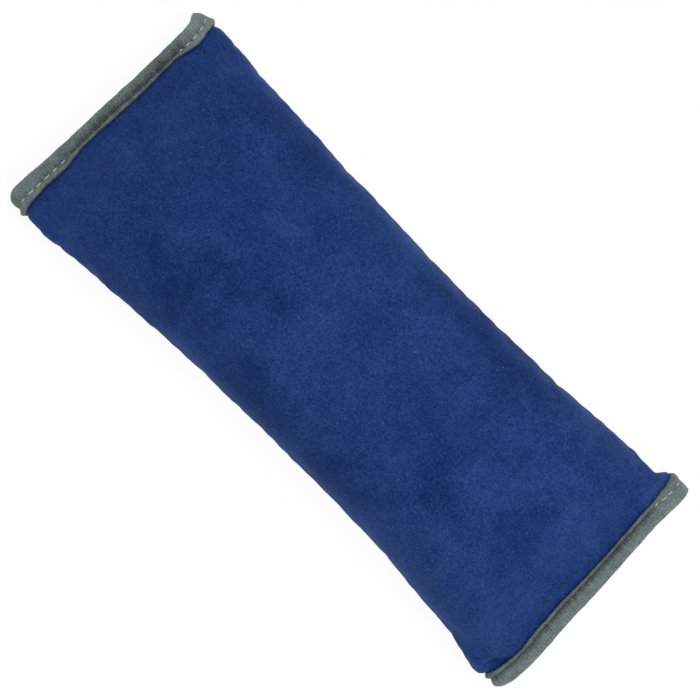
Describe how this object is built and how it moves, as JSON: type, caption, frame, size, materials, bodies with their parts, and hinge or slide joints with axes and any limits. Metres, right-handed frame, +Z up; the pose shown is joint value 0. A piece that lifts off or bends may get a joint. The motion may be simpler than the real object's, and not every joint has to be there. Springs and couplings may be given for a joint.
{
  "type": "seat belt shoulder pad",
  "caption": "Stuffed suede shoulder pad for a child's seat belt, waisted cushion with flat flared ends bound in ribbed tape, and back flaps that close round the belt.",
  "frame": {"origin": "middle of the base: centre of the outline seen from above, on the surface that the pad lies on with its flaps down", "axes": "+X along the belt, towards the end with the small lobe on its corner; +Y across the belt, towards that lobe; +Z up, from the flaps to the padded face"},
  "size_m": [0.2812, 0.111, 0.042],
  "materials": {
    "suede_cover": "royal blue microfibre suede with a short mottled nap",
    "ribbed_tape": "grey-green grosgrain, matt",
    "lining_cloth": "plain woven blue polyester",
    "fibre_fill": "white polyester fibre fill",
    "fastener_strip": "navy nylon hook and loop tape"
  },
  "bodies": {
    "root": {"face_cover": "suede_cover", "stuffing": "fibre_fill", "cushion_lining": "lining_cloth", "loop_flap": "suede_cover", "hook_flap": "suede_cover", "hook_strip": "fastener_strip", "loop_strip": "fastener_strip", "left_end_binding": "ribbed_tape", "right_end_binding": "ribbed_tape"}
  },
  "joints": []
}
